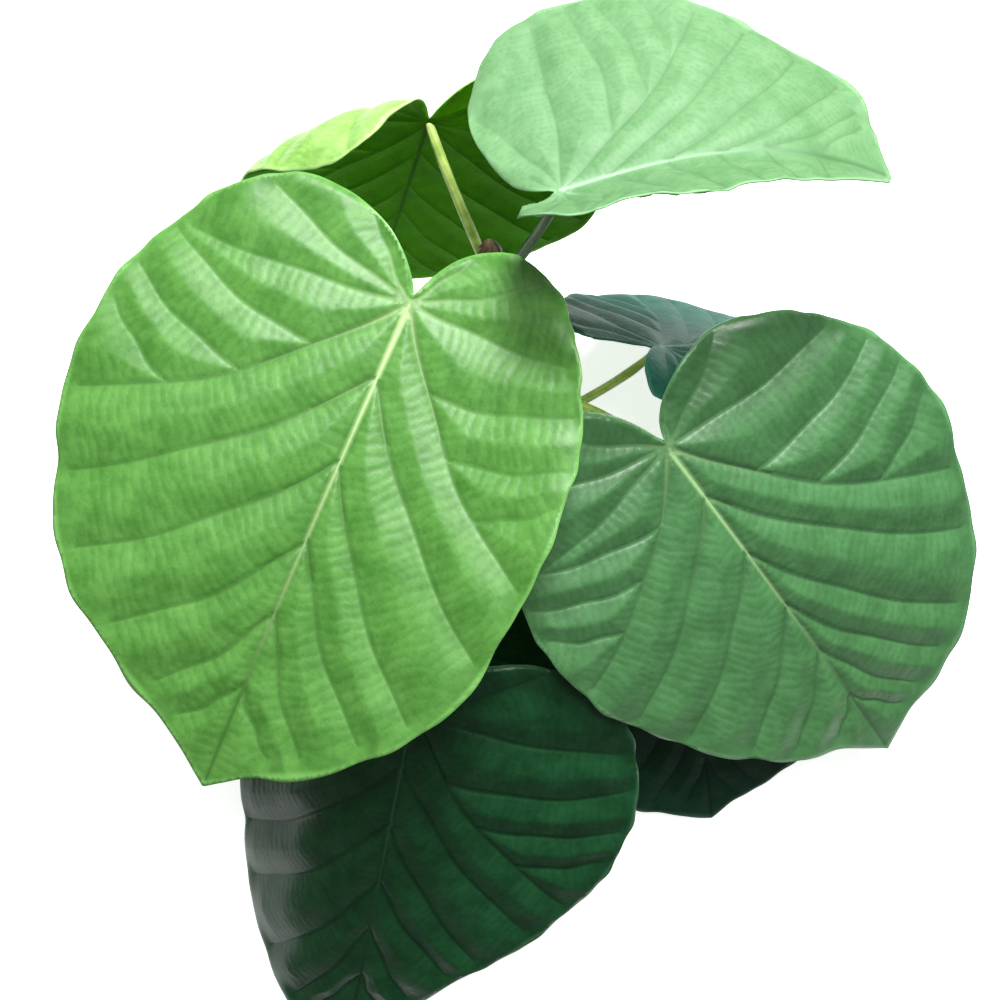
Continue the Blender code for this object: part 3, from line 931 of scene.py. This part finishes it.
def blade_masks(leaf, points, relief):
    """Where the veins, the pale midrib, the rungs and the pale edge are, for both faces."""
    from_stalk = np.hypot(points[:, 0], points[:, 1])
    along = np.clip(points[:, 1] / leaf.length, 0, 1)
    fade = np.where(relief.rank == 0, np.clip(MIDRIB_START - MIDRIB_FADE * along, 0, 1), 0.0)
    midrib = np.exp(-((relief.distance / MIDRIB_WIDTH) ** 2)) * fade
    fan = FAN_SHARE * relief.vein * np.exp(-from_stalk / (FAN_REACH * leaf.length))
    edge = np.clip((inside_share(leaf, points) - EDGE_START) / EDGE_WIDTH, 0, 1)
    masks = {"vein": relief.vein, "midrib": np.clip(midrib + fan, 0, 1), "rung": relief.rung, "edge": edge}
    return {name: np.concatenate([values, values]) for name, values in masks.items()}


print("a blade is", SHELL_THICKNESS * 1000, "mm thick")

# %% Blades
FIRST_LEAF_SEED = 100
FIRST_RELIEF_SEED = 10


def show(obj, node):
    """Puts a piece in the scene, on the frame's body and in the place of a node."""
    bpy.context.scene.collection.objects.link(obj)
    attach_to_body(obj, "root")
    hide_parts(node)


def make_blade(leaf, number):
    """Builds one leaf and puts it in its solid's place."""
    rng = np.random.default_rng(FIRST_LEAF_SEED + number)
    veins = leaf_veins(leaf, rng)
    outline = margin_outline(leaf, rng)
    step = FIELD_STEP * 1.0
    points, triangles = triangulate(leaf, veins, outline, step)
    relief = blade_relief(leaf, veins, points, FIRST_RELIEF_SEED + number)
    attach = np.clip(np.hypot(points[:, 0], points[:, 1]) / JOINT_CALM, 0, 1)
    height = relief.height * attach
    rib = RIB_HEIGHT * relief.vein * attach * full_share(leaf)
    axes = np.array(leaf_axes(leaf))
    faces = [np.column_stack([points, level]) for level in (height, height - SHELL_THICKNESS - rib)]
    upper, lower = [shape_blade(leaf, face) @ axes[:3, :3].T + axes[:3, 3] for face in faces]
    mesh = close_shell("leaf_" + leaf.name, upper, lower, triangles, len(outline))
    add_masks(mesh, blade_masks(leaf, points, relief))
    mesh.materials.append(leaf_material(leaf, False))
    mesh.materials.append(leaf_material(leaf, True))
    sides = np.zeros(len(mesh.polygons), np.int32)
    sides[len(triangles) : 2 * len(triangles)] = 1
    mesh.polygons.foreach_set("material_index", sides)
    mesh.shade_smooth()
    show(bpy.data.objects.new("leaf_" + leaf.name, mesh), "blade_" + leaf.name)
    print("leaf", leaf.name, "has", len(triangles) * 2, "triangles")


for number, leaf in enumerate(LEAVES):
    make_blade(leaf, number)

# %% [markdown]
# ## Stem, stalks and bud
# The frame's limbs have the true taper and bends, but plain faces. A fine skin is wrapped over each of
# them and then raised by what grows there: lengthwise ribs, slow swellings, rings where old leaves fell,
# and small pores. A bump in the material alone would leave the outline smooth, so these are real.

# %% Skins of the limbs


@dataclass
class Skin:
    """How one kind of limb looks. Heights are in metres, and ring places are shares of the length."""

    name: str
    dark: tuple
    light: tuple
    tip: tuple
    grain: float
    rough: float
    ribs: int
    rib_height: float
    swelling: float
    pore_height: float
    ring_places: tuple = ()
    ring_height: float = 0.0


STALK = Skin(
    name="stalk_skin",
    dark=(0.22, 0.34, 0.055),
    light=(0.44, 0.57, 0.15),
    tip=(0.50, 0.62, 0.20),
    grain=90.0,
    rough=0.35,
    ribs=6,
    rib_height=0.00009,
    swelling=0.00020,
    pore_height=0.00004,
)
# A darker copy of the stalk skin: painted shade for the top leaf's stalk, which lies in shadow.
PAINTED_SHADE_STALK = Skin(
    name="painted_shade_stalk_skin",
    dark=(0.018, 0.070, 0.010),
    light=(0.045, 0.130, 0.025),
    tip=(0.08, 0.20, 0.05),
    grain=90.0,
    rough=0.45,
    ribs=6,
    rib_height=0.00009,
    swelling=0.00020,
    pore_height=0.00004,
)
BARK = Skin(
    name="young_bark",
    dark=(0.09, 0.12, 0.035),
    light=(0.25, 0.29, 0.11),
    tip=(0.28, 0.36, 0.12),
    grain=160.0,
    rough=0.6,
    ribs=9,
    rib_height=0.00014,
    swelling=0.00030,
    pore_height=0.00022,
    ring_places=(0.12, 0.27, 0.42, 0.56, 0.69, 0.80, 0.89),
    ring_height=0.00050,
)
BUD = Skin(
    name="bud_scale",
    dark=(0.030, 0.012, 0.009),
    light=(0.16, 0.075, 0.038),
    tip=(0.34, 0.22, 0.12),
    grain=260.0,
    rough=0.45,
    ribs=8,
    rib_height=0.00028,
    swelling=0.00015,
    pore_height=0.00005,
)
print("limb skins:", ", ".join(skin.name for skin in (STALK, PAINTED_SHADE_STALK, BARK, BUD)))

# %% Limb materials
MOTTLE_RANGE = (0.35, 0.65)
MOTTLE_DETAIL = 5.0
MOTTLE_ROUGHNESS = 0.6
# Painted shade between a limb's ribs: how much, and how dark.
VALLEY_SHARE = 0.42
VALLEY_PAINTED_SHADE = 0.6
SKIN_ROUGH_CHANGE = 0.12
SKIN_ROUGH_DETAIL = 2.0
SKIN_BUMP_DETAIL = 4.0
SKIN_BUMP_ROUGHNESS = 0.6
SKIN_BUMP_STRENGTH = 0.5
SKIN_BUMP_DEPTH = 0.0003


def limb_material(skin):
    """A mottled skin, with painted shade between its ribs, and paler at the limb's tip."""
    paint = Paint(skin.name)
    cloud = paint.between(paint.noise(skin.grain, MOTTLE_DETAIL, MOTTLE_ROUGHNESS), *MOTTLE_RANGE)
    colour = paint.mix(cloud, skin.dark, skin.light)
    # Painted shade: the valleys between the ribs are darkened as if in shadow.
    colour = paint.mix(paint.attribute("valley") * VALLEY_SHARE, colour, shade(VALLEY_PAINTED_SHADE, skin.dark))
    colour = paint.mix(paint.attribute("tip"), colour, skin.tip)
    rough = skin.rough + SKIN_ROUGH_CHANGE * paint.noise(skin.grain * 2, SKIN_ROUGH_DETAIL)
    bump = paint.noise(skin.grain * 4, SKIN_BUMP_DETAIL, SKIN_BUMP_ROUGHNESS)
    paint.surface(colour, rough, SKIN_BUMP_STRENGTH, SKIN_BUMP_DEPTH, bump)
    return paint.material


skin_materials = {skin.name: limb_material(skin) for skin in (STALK, PAINTED_SHADE_STALK, BARK, BUD)}
print("limb materials:", len(skin_materials))

# %% [markdown]
# ## Wrapping a limb
# A limb's solid has long faces with nothing between their corners to move. A voxel remesh gives small even
# faces at any place, which subdividing would not, and a little smoothing takes away the old edges. The
# limb's own length and turn are then found from slices across it, because ribs follow them.

# %% Fine skins and their axes
SMOOTHING = 6
SLICES = 40
SKEW = (0.3, 0.5, 0.8)


def wrapped(node, voxel):
    """A fine, evenly meshed and slightly smoothed copy of a solid, in scene axes."""
    copy = bpy.data.objects.new(node.name + "_wrap", node.data.copy())
    copy.matrix_world = node.matrix_world
    bpy.context.scene.collection.objects.link(copy)
    remesh = copy.modifiers.new("remesh", "REMESH")
    remesh.mode = "VOXEL"
    remesh.voxel_size = voxel
    smooth = copy.modifiers.new("smooth", "SMOOTH")
    smooth.iterations = SMOOTHING
    bpy.context.view_layer.update()
    fine = bpy.data.meshes.new_from_object(copy.evaluated_get(bpy.context.evaluated_depsgraph_get()))
    fine.transform(node.matrix_world)
    bpy.data.objects.remove(copy)
    return fine


def along_and_round(points, upward):
    """For each point, its share of the limb's length, its turn round the core, and its travel along it."""
    middle = points.mean(0)
    axis = np.linalg.svd(points - middle, full_matrices=False)[2][0]
    axis = axis * (1 if axis @ upward > 0 else -1)
    travel = (points - middle) @ axis
    share = (travel - travel.min()) / (travel.max() - travel.min())
    bins = np.clip((share * SLICES).astype(int), 0, SLICES - 1)
    full = [k for k in range(SLICES) if (bins == k).any()]
    cores = np.array([points[bins == k].mean(0) for k in full])
    centres = (np.array(full) + 0.5) / SLICES
    core = np.column_stack([np.interp(share, centres, cores[:, k]) for k in range(3)])
    side = np.cross(axis, SKEW)
    side /= np.linalg.norm(side)
    other = np.cross(axis, side)
    out = points - core
    return share, np.arctan2(out @ other, out @ side), travel


def read_vectors(items, key):
    """A mesh's points or normals as rows of three numbers."""
    values = np.empty(len(items) * 3)
    items.foreach_get(key, values)
    return values.reshape(-1, 3)


print("a limb's core is read from", SLICES, "slices")

# %% [markdown]
# ## What grows on a limb
# Ribs run along it and wind a little. Swellings are long and low, and pores are short and sharp. A ring
# is a raised lip with a dip above it, where a leaf once stood. All of them fade at the limb's two ends, so
# the cut end stays flat.

# %% Dressing the limbs
END_CALM = 0.004
RIB_WINDING = 2.0
RIB_WINDING_TURNS = 7
SWELLING_TURN = 0.003
SWELLING_SIZE = 0.012
PORE_TURN = 0.004
PORE_SIZE = 0.0021
PORE_START = 0.45
PORE_SEED_STEP = 3
RING_WIDTH = 0.0011
RING_DIP = 0.5
RING_DIP_PLACE = 0.0026
RING_DIP_WIDTH = 0.0010
TIP_START = 0.80
TIP_CURVE = 1.5


def limb_relief(skin, share, turn, travel, rib, seed):
    """How far each point of a limb's skin is raised, in metres."""
    swelling = value_noise(np.column_stack([turn * SWELLING_TURN, travel]), SWELLING_SIZE, seed)
    pores = value_noise(np.column_stack([turn * PORE_TURN, travel]), PORE_SIZE, seed + PORE_SEED_STEP)
    height = skin.rib_height * rib + skin.swelling * swelling
    height += skin.pore_height * np.clip(pores - PORE_START, 0, 1) / (1 - PORE_START)
    from_foot = travel - travel.min()
    from_tip = travel.max() - travel
    for place in skin.ring_places:
        gap = from_foot - place * from_foot.max()
        height += skin.ring_height * np.exp(-((gap / RING_WIDTH) ** 2))
        height -= RING_DIP * skin.ring_height * np.exp(-(((gap - RING_DIP_PLACE) / RING_DIP_WIDTH) ** 2))
    return height * np.clip(np.minimum(from_foot, from_tip) / END_CALM, 0, 1)


def dress_limb(name, skin, voxel, upward, seed):
    """Wraps a limb in a skin and puts it in the solid's place."""
    mesh = wrapped(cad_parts[name], voxel)
    points = read_vectors(mesh.vertices, "co")
    normals = read_vectors(mesh.vertex_normals, "vector")
    share, turn, travel = along_and_round(points, np.array(upward, float))
    rib = np.sin(turn * skin.ribs + RIB_WINDING * np.sin(share * RIB_WINDING_TURNS + seed))
    height = limb_relief(skin, share, turn, travel, rib, seed)
    mesh.vertices.foreach_set("co", (points + normals * height[:, None]).ravel())
    tip = np.clip((share - TIP_START) / (1 - TIP_START), 0, 1) ** TIP_CURVE
    add_masks(mesh, {"valley": np.clip(-rib, 0, 1), "tip": tip})
    mesh.materials.clear()
    mesh.materials.append(skin_materials[skin.name])
    mesh.shade_smooth()
    show(bpy.data.objects.new(name + "_skin", mesh), name)
    print(name, "is wrapped in", len(mesh.polygons), "faces")


print("rings stand", BARK.ring_height * 1000, "mm high")

# %% All limbs
STALK_VOXEL = 0.0007
STEM_VOXEL = 0.0010
BUD_VOXEL = 0.0005
FIRST_STALK_SEED = 40
STEM_SEED = 60
BUD_SEED = 61

coarse = 1.0
for number, leaf in enumerate(LEAVES):
    # The top leaf's stalk takes the darkened copy of the stalk skin as painted shade.
    skin = PAINTED_SHADE_STALK if leaf.name == "top" else STALK
    seed = FIRST_STALK_SEED + number
    dress_limb("petiole_" + leaf.name, skin, STALK_VOXEL * coarse, (0, 0, 1), seed)
dress_limb("stem", BARK, STEM_VOXEL * coarse, (0, 1, 0.5), STEM_SEED)
dress_limb("bud", BUD, BUD_VOXEL * coarse, (0, 0.5, 1), BUD_SEED)

# %% [markdown]
# ## The sheet
# The picture's ground is plain white. A lit sheet alone turns grey between the leaves, so this one also
# glows. It is only a little wider than the view, because a wide one would be mirrored in the dark leaf.

# %% Sheet
FLOOR_GLOW = 0.75
FLOOR_HALF = 0.42
FLOOR_LEVEL = -0.0015
FLOOR_WHITE = 0.95
FLOOR_ROUGH = 0.9

floor_mesh = bpy.data.meshes.new("floor")
sheet = bmesh.new()
bmesh.ops.create_grid(sheet, x_segments=1, y_segments=1, size=FLOOR_HALF)
sheet.to_mesh(floor_mesh)
sheet.free()
floor = bpy.data.objects.new("floor", floor_mesh)
floor.location = PICTURE_MIDDLE + Vector((0, 0, FLOOR_LEVEL))
bpy.context.scene.collection.objects.link(floor)
paper = Paint("paper")
paper.shader.inputs["Base Color"].default_value = (FLOOR_WHITE, FLOOR_WHITE, FLOOR_WHITE, 1.0)
paper.shader.inputs["Roughness"].default_value = FLOOR_ROUGH
paper.shader.inputs["Emission Color"].default_value = (1.0, 1.0, 1.0, 1.0)
paper.shader.inputs["Emission Strength"].default_value = FLOOR_GLOW
floor_mesh.materials.append(paper.material)
print("sheet is", FLOOR_HALF * 2, "m wide")

# %% [markdown]
# ## Light
# The leaves have a broad pale sheen on the slopes that face the picture's top edge. Two soft lamps beyond
# that edge, one low and one high, give it. A dim even sky fills the shadows between the leaves.

# %% Sky and lamps
SKY_STRENGTH = 0.28
SKY_COLOUR = (0.97, 0.99, 1.0, 1.0)
LIGHT_AIM = (0, 0, 0.15)

world = bpy.data.worlds.new("sky")
world.use_nodes = True
world.node_tree.nodes["Background"].inputs["Color"].default_value = SKY_COLOUR
world.node_tree.nodes["Background"].inputs["Strength"].default_value = SKY_STRENGTH
bpy.context.scene.world = world


def soft_light(name, place, size, power):
    """A round lamp of the given width and power in watts, turned towards the shoot."""
    lamp = bpy.data.lights.new(name, "AREA")
    lamp.shape = "DISK"
    lamp.size = size
    lamp.energy = power
    light = bpy.data.objects.new(name, lamp)
    light.location = place
    light.rotation_euler = (Vector(LIGHT_AIM) - Vector(place)).to_track_quat("-Z", "Y").to_euler()
    bpy.context.scene.collection.objects.link(light)


soft_light("window", place=(0.25, 1.2, 1.4), size=0.6, power=50.0)
soft_light("sheen", place=(0.15, 0.75, 2.1), size=0.6, power=25.0)
bpy.context.scene.view_settings.view_transform = "Standard"
print("sky and lamps are set")

# %% [markdown]
# ## Close
# The scene is brought up to date.

# %% Close
bpy.context.view_layer.update()
